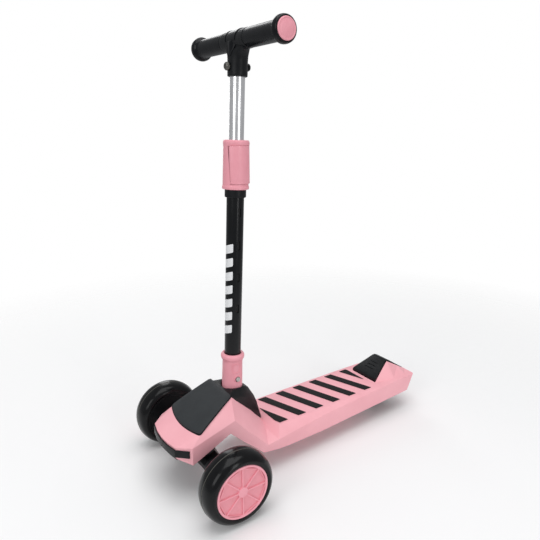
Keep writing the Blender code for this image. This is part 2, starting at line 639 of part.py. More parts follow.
def make_front_wheel(side, sign, mats, truck):
    middle_x = FRONT_OUTER_X - FRONT_W / 2
    centre = AXLE + Vector((sign * middle_x, 0.0, 0.0))
    outward = sign * X_DIR
    wheel = pivot_at(f"front_wheel_{side}_axis", centre, truck)
    rim = 44.0
    turned(f"front_tyre_{side}", tyre_profile(FRONT_R, FRONT_W, rim + GAP), centre, outward, mats["smoke_tyre"],
           wheel, 40)
    turned(f"front_core_{side}", core_profile(rim, 16.5, 5.0, 12.5), centre, outward, mats["red_core"], wheel, 24)
    cover = [(0.0, 18.3), (8.0, 18.3), (9.5, 16.8), (43.0, 16.8), (44.0, 17.8), (44.0, 20.6), (43.0, 21.4),
             (40.8, 21.4), (39.8, 20.2), (10.5, 20.2), (9.2, 21.4), (0.0, 21.4)]
    turned(f"hub_cover_{side}", cover, centre, outward, mats["pink_trim"], wheel, 28)
    make_bearing(f"bearing_inner_{side}", centre, outward, -12.3, mats, wheel)
    make_bearing(f"bearing_outer_{side}", centre, outward, 5.3, mats, wheel)


def make_rear_wheel(mats, root):
    wheel = pivot_at("rear_wheel_axis", REAR_AXLE, root)
    rim = 28.0
    turned("rear_tyre", tyre_profile(REAR_R, REAR_W, rim + GAP), REAR_AXLE, X_DIR, mats["smoke_tyre"], wheel, 32)
    turned("rear_core", core_profile(rim, 11.5, 5.0, 11.5), REAR_AXLE, X_DIR, mats["red_core"], wheel, 20)
    make_bearing("rear_bearing_left", REAR_AXLE, X_DIR, 4.3, mats, wheel)
    make_bearing("rear_bearing_right", REAR_AXLE, X_DIR, -11.3, mats, wheel)


def make_rear_bracket(mats, root):
    """A black bracket under the deck: a cross bar and two arms that hold the wheel and the brake."""
    plan = [(44, 376), (44, 384), (20.5, 386), (20.5, 448), (16.5, 448), (16.5, 384), (0, 384)]
    outline = [(x, y, 33.0) for x, y in plan] + [(-x, y, 33.0) for x, y in reversed(plan[:-1])]
    bracket = extruded("rear_wheel_bracket", outline, (0, 0, 37.0), mats["black_plastic"], root)
    trim = [(-30, 405, 75), (-30, 470, 75), (-30, 470, 52), (-30, 448, 52), (-30, 405, 63.5)]
    combine(bracket, extruded("arm_slope", trim, (60, 0, 0), None, root), "DIFFERENCE")
    cut_hole(bracket, REAR_AXLE, X_DIR, -30.0, 30.0, AXLE_R + GAP, root)
    cut_hole(bracket, BRAKE_HINGE, X_DIR, -30.0, 30.0, BRAKE_PIN_R + GAP, root)

    bolt = [(0.0, -25.0), (AXLE_R, -25.0), (AXLE_R, 20.8), (6.5, 20.8), (6.5, 24.4), (5.4, 25.4), (0.0, 25.4)]
    turned("rear_axle_bolt", bolt, REAR_AXLE, X_DIR, mats["steel"], root, 20)
    hex_nut("rear_axle_nut", REAR_AXLE, X_DIR, -24.4, -20.8, AXLE_R, 7.5, mats["steel"], root)
    rod("brake_hinge_pin", BRAKE_HINGE, X_DIR, -22.0, 22.0, BRAKE_PIN_R, mats["steel"], root, 16)


# ---------------------------------------------------------------- foot brake

# Sections across the pedal: place along Y, half width, top height.
PEDAL_SECTIONS = [(391.0, 33.0, 80.5), (393.0, 32.4, 83.0), (433.0, 20.0, 105.4), (438.0, 18.8, 107.0),
                  (446.0, 19.2, 104.0), (476.0, 20.0, 84.2), (487.5, 20.0, 77.4)]
PEDAL_T = 4.0


def pedal_body(name, grow, depth, mat, pivot):
    rings = []
    for number, (y, half, top) in enumerate(PEDAL_SECTIONS):
        place = y
        if number == 0:
            place = y - grow
        if number == len(PEDAL_SECTIONS) - 1:
            place = y + grow
        floor = top - depth
        left = [(half + grow, place, floor), (half + grow, place, top - 1.2 + grow),
                (half - 1.2, place, top + grow)]
        rings.append(left + [(-x, py, z) for x, py, z in reversed(left)])
    return lofted(name, rings, mat, pivot)


def make_foot_brake(mats, root):
    brake = pivot_at("brake_axis", BRAKE_HINGE, root)
    pedal = pedal_body("brake_pedal", 0.0, PEDAL_T, mats["black_plastic"], brake)
    y, z = BRAKE_HINGE[1:]
    lug = [(-12, y - 3.6, z - 3.6), (-12, y + 3.6, z - 3.6), (-12, y + 8, z + 16), (-12, y - 3.6, z + 10.5)]
    combine(pedal, extruded("hinge_lug", lug, (24, 0, 0), None, brake), "UNION")
    combine(pedal, box("front_lip", (-32.4, 391.2, DECK_Z + 1.0), (32.4, 394.6, 80.0), None, brake), "UNION")
    combine(pedal, box("brake_shoe", (-9.0, 436.0, SHOE_Z), (9.0, 452.0, 99.0), None, brake), "UNION")
    cut_hole(pedal, BRAKE_HINGE, X_DIR, -30.0, 30.0, BRAKE_PIN_R + GAP, brake)


def make_brake_spring(mats, root):
    """A torsion spring: three turns of square wire round the hinge pin."""
    turns = 3
    steps = 10
    wire = 0.6
    radius = 3.4
    pitch = 0.85
    rings = []
    for step in range(turns * steps + 1):
        angle = 2 * math.pi * step / steps
        out = Vector((0.0, math.cos(angle), math.sin(angle)))
        middle = Vector(BRAKE_HINGE) + X_DIR * (13.0 + pitch * step / steps) + out * radius
        rings.append([middle + out * wire / 2 - X_DIR * wire / 2, middle + out * wire / 2 + X_DIR * wire / 2,
                      middle - out * wire / 2 + X_DIR * wire / 2, middle - out * wire / 2 - X_DIR * wire / 2])
    return lofted("brake_spring", rings, mats["steel"], root)


# ---------------------------------------------------------------- whole scooter

def main():
    for obj in list(bpy.data.objects):
        bpy.data.objects.remove(obj, do_unlink=True)
    mats = make_materials()
    root = pivot_at("front_axle_ground", (0.0, 0.0, 0.0))
    root.location = (0.0, -CENTRE_Y * MM, 0.0)

    make_deck_shell(mats, root)
    make_hood(mats, root)
    make_stem_housing(mats, root)
    make_bumper_strip(mats, root)
    make_undertray(mats, root)
    make_grip_strips(mats, root)
    make_stem(mats, root)
    make_clamp_sleeve(mats, root)
    make_height_button(mats, root)

    bar = pivot_at("height_slide_axis", stem_point(LOCK_Z), root)
    make_inner_tube(mats, bar)
    make_tee(mats, bar)
    make_bar(mats, bar)

    truck = pivot_at("kingpin_axis", AXLE, root)
    make_truck(mats, truck)
    make_kingpin(mats, root)
    make_front_wheel("left", 1.0, mats, truck)
    make_front_wheel("right", -1.0, mats, truck)

    make_rear_wheel(mats, root)
    make_rear_bracket(mats, root)
    make_foot_brake(mats, root)
    make_brake_spring(mats, root)


main()
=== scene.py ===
"""Looks of a child's three-wheeled kick scooter: moulded shells, turned parts, tyres and finishes.

Lengths are in millimetres, measured from the ground under the middle of the front axle, and turn
into metres of the frame as each piece is placed.  X runs to the rider's left, Y rearward, Z up.
"""
import json
import math

import bpy
from mathutils import Euler, Matrix, Vector


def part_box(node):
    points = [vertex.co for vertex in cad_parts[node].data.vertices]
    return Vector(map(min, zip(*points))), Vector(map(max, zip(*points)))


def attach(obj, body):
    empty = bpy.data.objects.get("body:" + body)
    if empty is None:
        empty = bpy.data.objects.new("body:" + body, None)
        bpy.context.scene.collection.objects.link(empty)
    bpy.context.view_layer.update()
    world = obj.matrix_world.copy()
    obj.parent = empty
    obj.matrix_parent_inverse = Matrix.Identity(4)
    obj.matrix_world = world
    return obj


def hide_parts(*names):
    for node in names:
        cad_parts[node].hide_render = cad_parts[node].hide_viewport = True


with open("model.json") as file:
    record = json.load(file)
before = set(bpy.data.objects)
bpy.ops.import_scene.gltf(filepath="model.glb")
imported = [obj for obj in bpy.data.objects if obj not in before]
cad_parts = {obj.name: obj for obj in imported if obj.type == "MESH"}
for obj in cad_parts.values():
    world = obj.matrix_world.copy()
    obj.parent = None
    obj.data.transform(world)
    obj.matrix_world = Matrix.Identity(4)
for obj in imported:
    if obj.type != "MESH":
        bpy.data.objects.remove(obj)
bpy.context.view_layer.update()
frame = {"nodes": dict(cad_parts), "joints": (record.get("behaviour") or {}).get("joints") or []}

MM = 0.001
JOINTS = {joint["name"]: joint for joint in frame["joints"]}
X_DIR = Vector((1.0, 0.0, 0.0))
Y_DIR = Vector((0.0, 1.0, 0.0))


# ---------------------------------------------------------------- places taken from the frame

def middle(node):
    low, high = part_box(node)
    return (low + high) / 2


AXLE_GROUND = Vector((0.0, middle("front_tyre_left").y, 0.0))
STEM_DIR = Vector(JOINTS["height_slide"]["axis"]).normalized()
STEM_FOOT_Z = 160.0
STEM_Y = 70.2


def at(x, y, z):
    """A place given in millimetres from the ground under the front axle."""
    return AXLE_GROUND + Vector((x, y, z)) * MM


STEM_FOOT = at(0.0, STEM_Y, STEM_FOOT_Z)


def along_stem(height):
    return (height - STEM_FOOT_Z) / STEM_DIR.z


def stem_at(height):
    return STEM_FOOT + STEM_DIR * (along_stem(height) * MM)


# ---------------------------------------------------------------- modelling by hand

def let_go():
    if bpy.context.mode != "OBJECT":
        bpy.ops.object.mode_set(mode="OBJECT")
    bpy.ops.object.select_all(action="DESELECT")


def take(obj):
    let_go()
    obj.select_set(True)
    bpy.context.view_layer.objects.active = obj


def edit(obj):
    take(obj)
    bpy.ops.object.mode_set(mode="EDIT")
    bpy.ops.mesh.select_mode(type="VERT")
    bpy.ops.mesh.select_all(action="SELECT")


def settle(obj, angle=30.0):
    """Face the piece outwards, put its place into its mesh and shade it."""
    edit(obj)
    bpy.ops.mesh.normals_make_consistent(inside=False)
    take(obj)
    bpy.ops.object.transform_apply(location=True, rotation=True, scale=True)
    bpy.ops.object.shade_smooth_by_angle(angle=math.radians(angle))
    return obj


def drawn_up(name, rings, place, direction, segments=96, hollow=False):
    """Extrude an oval ring upwards through (half x, half y, along) sizes, then stand it in place."""
    let_go()
    half_x, half_y, along = rings[0]
    fill = "NOTHING" if hollow else "NGON"
    bpy.ops.mesh.primitive_circle_add(vertices=segments, radius=1.0, fill_type=fill, location=(0, 0, 0))
    obj = bpy.context.object
    obj.name = name
    bpy.ops.object.mode_set(mode="EDIT")
    bpy.ops.mesh.select_mode(type="VERT")
    bpy.ops.mesh.select_all(action="SELECT")
    bpy.ops.transform.resize(value=(half_x * MM, half_y * MM, 1.0))
    bpy.ops.transform.translate(value=(0, 0, along * MM))
    for next_x, next_y, next_along in rings[1:]:
        rise = (next_along - along) * MM
        bpy.ops.mesh.extrude_region_move(TRANSFORM_OT_translate={"value": (0, 0, rise)})
        factors = (next_x / half_x, next_y / half_y, 1.0)
        bpy.ops.transform.resize(value=factors, center_override=(0, 0, next_along * MM))
        half_x, half_y, along = next_x, next_y, next_along
    if hollow:
        bpy.ops.mesh.select_all(action="DESELECT")
        bpy.ops.mesh.select_non_manifold()
        bpy.ops.mesh.bridge_edge_loops()
    bpy.ops.object.mode_set(mode="OBJECT")
    turn = direction.to_track_quat("Z", "Y").to_matrix().to_4x4()
    obj.matrix_world = Matrix.Translation(place) @ turn
    return settle(obj)


def soften(profile, radius=0.5, steps=3, ring=False):
    """Round the corners of a turned profile with short arcs."""
    points = [Vector((*point, 0.0)) for point in profile]
    count = len(points)
    softened = []
    for number, corner in enumerate(points):
        if not ring and number in (0, count - 1):
            softened.append(corner)
            continue
        before = points[number - 1] - corner
        after = points[(number + 1) % count] - corner
        reach = min(radius, 0.45 * before.length, 0.45 * after.length)
        start = corner + before.normalized() * reach
        end = corner + after.normalized() * reach
        for step in range(steps + 1):
            share = step / steps
            softened.append(start.lerp(corner, share).lerp(corner.lerp(end, share), share))
    return [(point.x, point.y) for point in softened]


def turned(name, profile, place, direction, segments=96, hollow=False, radius=0.5):
    """Turn a (radius, along) profile up from a ring, with its corners softened."""
    smooth = soften(profile, radius, ring=hollow)
    return drawn_up(name, [(r, r, a) for r, a in smooth], place, direction, segments, hollow)


def cut(target, tool):
    """Cut a tool away from a piece and throw the tool away."""
    take(target)
    modifier = target.modifiers.new("cut", "BOOLEAN")
    modifier.operation = "DIFFERENCE"
    modifier.object = tool
    bpy.ops.object.modifier_apply(modifier=modifier.name)
    bpy.data.objects.remove(tool)
    bpy.ops.object.shade_smooth_by_angle(angle=math.radians(30))


def block(name, low, high, bevel=0.0, segments=3):
    """A block between two corners in millimetres, with rounded edges."""
    let_go()
    centre = (Vector(low) + Vector(high)) / 2
    size = Vector(high) - Vector(low)
    bpy.ops.mesh.primitive_cube_add(size=1.0, location=at(*centre), scale=size * MM)
    obj = bpy.context.object
    obj.name = name
    bpy.ops.object.transform_apply(location=True, rotation=True, scale=True)
    if bevel:
        edit(obj)
        bpy.ops.mesh.bevel(offset=bevel * MM, segments=segments, affect="EDGES")
    return settle(obj)


def remade(node, name, bevel, sharp=25.0, segments=3, flat=2.0):
    """A copy of a frame solid, its triangles merged into clean faces and its edges rounded."""
    take(frame["nodes"][node])
    bpy.ops.object.duplicate()
    obj = bpy.context.object
    obj.name = name
    obj.parent = None
    for key in list(obj.keys()):
        del obj[key]
    bpy.ops.mesh.customdata_custom_splitnormals_clear()
    edit(obj)
    bpy.ops.mesh.remove_doubles(threshold=0.01 * MM)
    bpy.ops.mesh.dissolve_limited(angle_limit=math.radians(flat))
    bpy.ops.mesh.select_mode(type="EDGE")
    bpy.ops.mesh.select_all(action="DESELECT")
    bpy.ops.mesh.edges_select_sharp(sharpness=math.radians(sharp))
    bpy.ops.mesh.bevel(offset=bevel * MM, segments=segments, affect="EDGES", clamp_overlap=True)
    return settle(obj, 40.0)


def rounded_outline(corners, radius, steps=6):
    """A flat outline with each corner replaced by an arc."""
    return soften(corners, radius, steps, ring=True)


def plate(name, outline, thickness, bevel=0.0):
    """A flat plate from an outline in the XY plane, its top edge rounded; it is laid on later."""
    let_go()
    bpy.ops.mesh.primitive_circle_add(vertices=len(outline), radius=1.0, fill_type="NGON",
                                      location=(0, 0, 0))
    obj = bpy.context.object
    obj.name = name
    for vertex, (x, y) in zip(obj.data.vertices, outline):
        vertex.co = (x * MM, y * MM, 0.0)
    edit(obj)
    bpy.ops.mesh.extrude_region_move(TRANSFORM_OT_translate={"value": (0, 0, thickness * MM)})
    if bevel:
        bpy.ops.mesh.inset(thickness=bevel * MM)
        bpy.ops.transform.translate(value=(0, 0, 0.35 * bevel * MM))
    bpy.ops.mesh.select_all(action="SELECT")
    bpy.ops.mesh.normals_make_consistent(inside=False)
    bpy.ops.object.mode_set(mode="OBJECT")
    return obj


def cross_cut(obj, start, end, count, normal):
    """Bisect a flat piece into strips so that it can bend."""
    edit(obj)
    for step in range(1, count):
        share = step / count
        place = Vector(start).lerp(Vector(end), share) * MM
        bpy.ops.mesh.select_all(action="SELECT")
        bpy.ops.mesh.bisect(plane_co=place, plane_no=normal)
    bpy.ops.object.mode_set(mode="OBJECT")


def bend_onto(obj, place_of):
    """Carry each point of a flat piece to its place on a curved surface."""
    for vertex in obj.data.vertices:
        vertex.co = place_of(vertex.co / MM)
    return settle(obj, 35.0)


def show(obj, body, slot, material, *nodes):
    """Give a piece its finish, let it ride on its body and hide the frame solids it stands in for."""
    obj.data.materials.clear()
    obj.data.materials.append(material)
    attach(obj, body)
    if nodes:
        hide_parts(*nodes)
    return obj


# ---------------------------------------------------------------- finishes

class Finish:
    """A material with helpers that add its procedural detail."""

    def __init__(self, name, colour, roughness, metallic=0.0, coat=0.0, coat_roughness=0.1, specular=0.5):
        self.material = bpy.data.materials.new(name)
        self.material.use_nodes = True
        self.tree = self.material.node_tree
        self.shader = self.tree.nodes["Principled BSDF"]
        self.colour = colour
        self.shader.inputs["Base Color"].default_value = (*colour, 1.0)
        self.shader.inputs["Roughness"].default_value = roughness
        self.shader.inputs["Metallic"].default_value = metallic
        self.shader.inputs["Coat Weight"].default_value = coat
        self.shader.inputs["Coat Roughness"].default_value = coat_roughness
        self.shader.inputs["Specular IOR Level"].default_value = specular
        self.roughness = roughness
        self.place = self.tree.nodes.new("ShaderNodeTexCoord").outputs["Object"]

    def node(self, kind, **values):
        made = self.tree.nodes.new(kind)
        for key, value in values.items():
            setattr(made, key, value)
        return made

    def link(self, source, target):
        self.tree.links.new(source, target)

    def noise(self, size, detail=3.0, stretch=(1.0, 1.0, 1.0)):
        """Noise whose features are about size millimetres across."""
        mapping = self.node("ShaderNodeMapping")
        mapping.inputs["Scale"].default_value = stretch
        self.link(self.place, mapping.inputs["Vector"])
        made = self.node("ShaderNodeTexNoise")
        made.inputs["Scale"].default_value = 1.0 / (size * MM)
        made.inputs["Detail"].default_value = detail
        self.link(mapping.outputs["Vector"], made.inputs["Vector"])
        return made.outputs["Fac"]

    def ranged(self, value, low, high, source_low=0.3, source_high=0.7):
        made = self.node("ShaderNodeMapRange")
        made.inputs["From Min"].default_value = source_low
        made.inputs["From Max"].default_value = source_high
        made.inputs["To Min"].default_value = low
        made.inputs["To Max"].default_value = high
        self.link(value, made.inputs["Value"])
        return made.outputs["Result"]

    def mottle(self, size, other, amount=1.0):
        """Blend the colour towards another one in soft patches."""
        mix = self.node("ShaderNodeMix", data_type="RGBA")
        mix.inputs[6].default_value = (*self.colour, 1.0)
        mix.inputs[7].default_value = (*other, 1.0)
        self.link(self.ranged(self.noise(size), 0.0, amount), mix.inputs[0])
        self.link(mix.outputs[2], self.shader.inputs["Base Color"])
        return self

    def uneven_gloss(self, size, spread, stretch=(1.0, 1.0, 1.0)):
        low = max(0.02, self.roughness - spread)
        self.link(self.ranged(self.noise(size, 4.0, stretch), low, self.roughness + spread),
                  self.shader.inputs["Roughness"])
        return self

    def bump(self, height, distance=0.1):
        """Raise the surface by a height pattern; later patterns stack on earlier ones."""
        made = self.node("ShaderNodeBump")
        made.inputs["Strength"].default_value = 1.0
        made.inputs["Distance"].default_value = distance * MM
        self.link(height, made.inputs["Height"])
        normal = self.shader.inputs["Normal"]
        if normal.is_linked:
            self.link(normal.links[0].from_socket, made.inputs["Normal"])
        self.link(made.outputs["Normal"], normal)
        return self

    def grain(self, size, depth, stretch=(1.0, 1.0, 1.0)):
        return self.bump(self.noise(size, 2.0, stretch), depth)

    def leather(self, size, depth):
        """The fine cells of a spark-eroded mould."""
        cells = self.node("ShaderNodeTexVoronoi")
        cells.inputs["Scale"].default_value = 1.0 / (size * MM)
        self.link(self.place, cells.inputs["Vector"])
        return self.bump(cells.outputs["Distance"], depth)

    def ribs(self, pitch, depth, direction):
        """Fine parallel ribs square to a direction."""
        dot = self.node("ShaderNodeVectorMath", operation="DOT_PRODUCT")
        dot.inputs[1].default_value = Vector(direction).normalized() * (2 * math.pi / (pitch * MM))
        self.link(self.place, dot.inputs[0])
        wave = self.node("ShaderNodeMath", operation="SINE")
        self.link(dot.outputs["Value"], wave.inputs[0])
        return self.bump(wave.outputs[0], depth)


def make_finishes():
    pink = (0.94, 0.465, 0.515)
    pink_low = (0.90, 0.43, 0.48)
    made = {
        "shell": Finish("pink_shell_plastic", pink, 0.42, specular=0.35).mottle(38, pink_low)
        .uneven_gloss(9, 0.05).grain(0.7, 0.008).grain(22, 0.08),
        "trim": Finish("pink_trim_plastic", (0.90, 0.385, 0.45), 0.38, specular=0.35)
        .mottle(14, (0.86, 0.35, 0.41)).uneven_gloss(5, 0.05).grain(0.6, 0.006),
        # painted shade: the trim pink darkened for the sunk hub plate between the ribs
        "shaded_recess": Finish("pink_recess_painted_shade", (0.84, 0.335, 0.39), 0.5, specular=0.3)
        .mottle(9, (0.80, 0.31, 0.36)).grain(0.5, 0.01),
        "hood": Finish("hood_satin_grey", (0.030, 0.034, 0.037), 0.5, specular=0.3)
        .mottle(26, (0.024, 0.027, 0.030)).uneven_gloss(6, 0.05).leather(0.45, 0.012),
        "moulded": Finish("black_moulded_plastic", (0.0065, 0.0072, 0.0085), 0.4, specular=0.18)
        .mottle(18, (0.011, 0.012, 0.0135)).uneven_gloss(5, 0.06).leather(0.5, 0.008),
        "strip": Finish("strip_rubber", (0.0125, 0.0127, 0.013), 0.72, specular=0.15)
        .mottle(4, (0.018, 0.018, 0.0185)).grain(0.35, 0.03).ribs(2.6, 0.08, (1.0, 0.6, 0.0)),
        "bush": Finish("bush_rubber", (0.014, 0.014, 0.015), 0.8, specular=0.2)
        .mottle(5, (0.022, 0.022, 0.022)).grain(0.5, 0.03),
        "grip": Finish("grip_smooth_rubber", (0.0045, 0.0052, 0.0068), 0.27, specular=0.16)
        .mottle(12, (0.007, 0.008, 0.0095)).uneven_gloss(14, 0.03).grain(14, 0.02),
        "paint": Finish("black_gloss_paint", (0.004, 0.0045, 0.0055), 0.22, coat=0.12, coat_roughness=0.08,
                        specular=0.18).mottle(20, (0.006, 0.0065, 0.0075)).uneven_gloss(14, 0.03)
        .grain(16, 0.012),
        "silver": Finish("polished_tube", (0.88, 0.88, 0.89), 0.27, 1.0)
        .mottle(30, (0.79, 0.79, 0.80)).uneven_gloss(5, 0.03, (1.0, 1.0, 0.05)).grain(24, 0.006),
        "steel": Finish("plated_steel", (0.52, 0.51, 0.48), 0.3, 1.0).mottle(2.5, (0.40, 0.39, 0.37))
        .uneven_gloss(1.5, 0.08).grain(0.5, 0.006),
        "dark_steel": Finish("dark_steel", (0.17, 0.165, 0.15), 0.35, 1.0).mottle(2.5, (0.12, 0.115, 0.105))
        .uneven_gloss(2.5, 0.06).grain(3, 0.006),
        "tyre": Finish("smoky_tyre", (0.0035, 0.0037, 0.0042), 0.22, coat=0.12, coat_roughness=0.07,
                       specular=0.14)
        .mottle(16, (0.0060, 0.0062, 0.0070)).uneven_gloss(14, 0.05).grain(12, 0.03),
        "seam": Finish("tyre_parting_line", (0.045, 0.043, 0.037), 0.5, specular=0.3)
        .mottle(3, (0.08, 0.075, 0.065)).grain(0.6, 0.01),
        "red": Finish("dark_red_core", (0.33, 0.006, 0.012), 0.32).mottle(7, (0.23, 0.004, 0.009))
        .grain(1.1, 0.008),
        "white": Finish("printed_white", (0.86, 0.87, 0.88), 0.4).mottle(3, (0.80, 0.81, 0.82))
        .grain(0.5, 0.004),
    }
    return {key: finish.material for key, finish in made.items()}


NODE_FINISH = {
    "steel": ("stem_post", "collar_screw", "kingpin_bolt", "kingpin_nut", "rear_axle_bolt", "rear_axle_nut",
              "brake_hinge_pin", "brake_spring", "lock_pin", "lock_spring", "bar_tube", "axle_bolt_left",
              "axle_bolt_right", "bearing_inner_left", "bearing_outer_left", "bearing_inner_right",
              "bearing_outer_right", "rear_bearing_left", "rear_bearing_right"),
    "dark_steel": ("tee_bolt",),
    "bush": ("kingpin_bush_upper", "kingpin_bush_lower"),
    "moulded": ("tube_guide_plug",),
}


def finish_frame_nodes(finishes):
    """The solids that stay as they are get their finishes."""
    for key, nodes in NODE_FINISH.items():
        for node in nodes:
            for slot in frame["nodes"][node].material_slots:
                slot.material = finishes[key]


# ---------------------------------------------------------------- deck

def make_deck(finishes):
    shell = remade("deck_shell", "deck_moulding", 2.4, sharp=24.0, segments=4)
    show(shell, "deck", "pink_shell", finishes["shell"], "deck_shell")
    housing = remade("stem_housing", "stem_fairing", 1.6, sharp=20.0)
    show(housing, "deck", "black_plastic", finishes["moulded"], "stem_housing")
    bumper = remade("bumper_strip", "nose_bumper", 0.5)
    show(bumper, "deck", "black_plastic", finishes["moulded"], "bumper_strip")
    tray = remade("nose_undertray", "undertray", 0.6)
    show(tray, "deck", "black_plastic", finishes["moulded"], "nose_undertray")
    bracket = remade("rear_wheel_bracket", "rear_fork", 0.9)
    show(bracket, "deck", "black_plastic", finishes["moulded"], "rear_wheel_bracket")


HOOD_FRONT_Y = -31.0
HOOD_REAR_Y = 46.5
HOOD_CORNER = (54.5, -21.0)
HOOD_REAR_HALF = 37.5


def hood_place(point, lift):
    """Where a point of the flat hood lies on the sloping, slightly crowned nose."""
    share = (point.y - HOOD_FRONT_Y) / (HOOD_REAR_Y - HOOD_FRONT_Y)
    rise = 110.3 + 42.4 * share + 5.5 * share * (1.0 - share)
    half = HOOD_CORNER[0] + (HOOD_REAR_HALF - HOOD_CORNER[0]) * share
    crown = 2.6 * (1.0 - share) * (point.x / half) ** 2
    return at(point.x, point.y, rise - crown + point.z + lift)


def hood_outline(grow, radius):
    """The hood in plan: a bowed front edge, rounded corners and sides that close towards the rear."""
    corner_x, corner_y = HOOD_CORNER[0] + grow, HOOD_CORNER[1]
    bow = corner_y - HOOD_FRONT_Y
    steps = 12
    front = []
    for step in range(steps + 1):
        x = -corner_x + 2 * corner_x * step / steps
        front.append((x, corner_y - grow - bow * (1.0 - (x / corner_x) ** 2)))
    rear_half, rear_y = HOOD_REAR_HALF + grow, HOOD_REAR_Y + grow
    return rounded_outline(front + [(rear_half, rear_y), (-rear_half, rear_y)], radius, 5)


def make_hood(finishes):
    border = plate("hood_border", hood_outline(0.9, 4.5), 1.3)
    cross_cut(border, (0, HOOD_FRONT_Y, 0), (0, HOOD_REAR_Y, 0), 10, (0, 1, 0))
    cross_cut(border, (-50, 0, 0), (50, 0, 0), 10, (1, 0, 0))
    bend_onto(border, lambda point: hood_place(point, -0.3))
    show(border, "deck", "black_plastic", finishes["moulded"])
    hood = plate("hood", hood_outline(-0.2, 4.0), 1.6, bevel=0.8)
    cross_cut(hood, (0, HOOD_FRONT_Y, 0), (0, HOOD_REAR_Y, 0), 10, (0, 1, 0))
    cross_cut(hood, (-50, 0, 0), (50, 0, 0), 10, (1, 0, 0))
    bend_onto(hood, lambda point: hood_place(point, 0.5))
    show(hood, "deck", "hood_grey", finishes["hood"], "hood_panel")


def make_strips(finishes):
    for number in range(1, 8):
        node = f"grip_strip_{number}"
        strip = remade(node, f"tread_strip_{number}", 0.3, segments=2)
        show(strip, "deck", "black_rubber", finishes["strip"], node)


# ---------------------------------------------------------------- stem

OUTER_R = 14.0
OUTER_BORE = 12.3
TUBE_Z = (152.0, 556.0)
SLOT_HEIGHTS = (295.0, 348.5, 402.0, 455.5)
SLOT_HALF_Y = 2.4
SLOT_HALF_Z = 7.5
SHADE_LINER_Z = (285.0, 470.0)      # a dark sleeve inside the tube that paints the shade seen through the slots
SHADE_LINER_R = 12.2
SHADE_LINER_BORE = 11.85
LOCK_HOLE_R = 3.0
LOCK_Z = 529.0
SCREW_Z = 169.7


def cylinder_tool(name, place, direction, low, high, radius, segments=32):
    return drawn_up(name, [(radius, radius, low), (radius, radius, high)], place, direction, segments)


def make_stem(finishes):
    foot, top = along_stem(TUBE_Z[0]), along_stem(TUBE_Z[1])
    profile = [(OUTER_BORE, foot), (OUTER_R, foot), (OUTER_R, top), (OUTER_BORE, top)]
    tube = turned("stem_tube", profile, STEM_FOOT, STEM_DIR, hollow=True)
    for height in SLOT_HEIGHTS:
        y = (stem_at(height) - AXLE_GROUND).y / MM
        low_corner = (8.0, y - SLOT_HALF_Y, height - SLOT_HALF_Z)
        high_corner = (20.0, y + SLOT_HALF_Y, height + SLOT_HALF_Z)
        cut(tube, block("slot_tool", low_corner, high_corner, 1.6, 4))
    cut(tube, cylinder_tool("lock_hole_tool", stem_at(LOCK_Z), X_DIR, 8.0, 20.0, LOCK_HOLE_R))
    show(tube, "deck", "black_paint", finishes["paint"], "outer_tube")
    # painted shade: a black sleeve behind the slots stands in for the shade inside the tube
    low, high = along_stem(SHADE_LINER_Z[0]), along_stem(SHADE_LINER_Z[1])
    shade_liner_rings = [(SHADE_LINER_BORE, low), (SHADE_LINER_R, low), (SHADE_LINER_R, high), (SHADE_LINER_BORE, high)]
    inside = turned("slot_shade_liner", shade_liner_rings, STEM_FOOT, STEM_DIR, hollow=True, radius=0.1)
    show(inside, "deck", "black_plastic", finishes["bush"])

    foot, ring = along_stem(148.1), along_stem(213.2)
    bore = OUTER_R + 0.3
    profile = [(bore, foot), (17.2, foot), (17.8, foot + 2.0), (17.2, ring - 12.5), (18.6, ring - 10.6),
               (20.2, ring - 7.4), (20.2, ring - 3.6), (18.8, ring - 1.0), (17.0, ring), (bore, ring - 0.4)]
    collar = turned("stem_foot_collar", profile, STEM_FOOT, STEM_DIR, hollow=True, radius=1.0)
    show(collar, "deck", "pink_trim", finishes["trim"], "stem_collar")
    boss = [(6.2, 15.0), (6.2, 18.2), (5.4, 18.6), (4.9, 18.6), (4.9, 17.6), (2.6, 17.6), (2.6, 15.0)]
    ring_piece = turned("screw_boss", boss, stem_at(SCREW_Z), X_DIR, 48, hollow=True, radius=0.3)
    show(ring_piece, "deck", "pink_trim", finishes["trim"])
    make_collar_badge(finishes)

    low, high = along_stem(478.5), along_stem(490.9)
    profile = [(bore, low), (16.6, low), (17.1, low + 0.8), (17.1, high - 0.6), (16.8, high), (bore, high)]
    bush = turned("stem_top_ring", profile, STEM_FOOT, STEM_DIR, hollow=True, radius=0.3)
    show(bush, "deck", "black_plastic", finishes["moulded"], "tube_top_bush")


def on_stem_surface(point, radius, heading, height):
    """Wrap a flat point (across, up, out) round the stem at a heading and a height."""
    angle = heading + point.x / radius
    out = Vector((math.cos(angle), math.sin(angle), 0.0))
    return stem_at(height) + STEM_DIR * (point.y * MM) + out * ((radius + point.z) * MM)


def frame_plate(name, half_x, half_y, line, thickness):
    """A thin raised rectangle line with rounded corners."""
    corners = [(-half_x, -half_y), (half_x, -half_y), (half_x, half_y), (-half_x, half_y)]
    obj = plate(name, rounded_outline(corners, 2.2, 5), thickness)
    edit(obj)
    bpy.ops.mesh.select_mode(type="FACE")
    bpy.ops.mesh.select_all(action="DESELECT")
    bpy.ops.object.mode_set(mode="OBJECT")
    for face in obj.data.polygons:
        face.select = face.normal.z > 0.9
    bpy.ops.object.mode_set(mode="EDIT")
    bpy.ops.mesh.inset(thickness=line * MM)
    bpy.ops.mesh.extrude_region_move(TRANSFORM_OT_translate={"value": (0, 0, -0.7 * thickness * MM)})
    bpy.ops.object.mode_set(mode="OBJECT")
    return obj


BADGE_HALF = 7.0
BADGE_Z = 189.0
BADGE_HEADING = math.radians(-8)


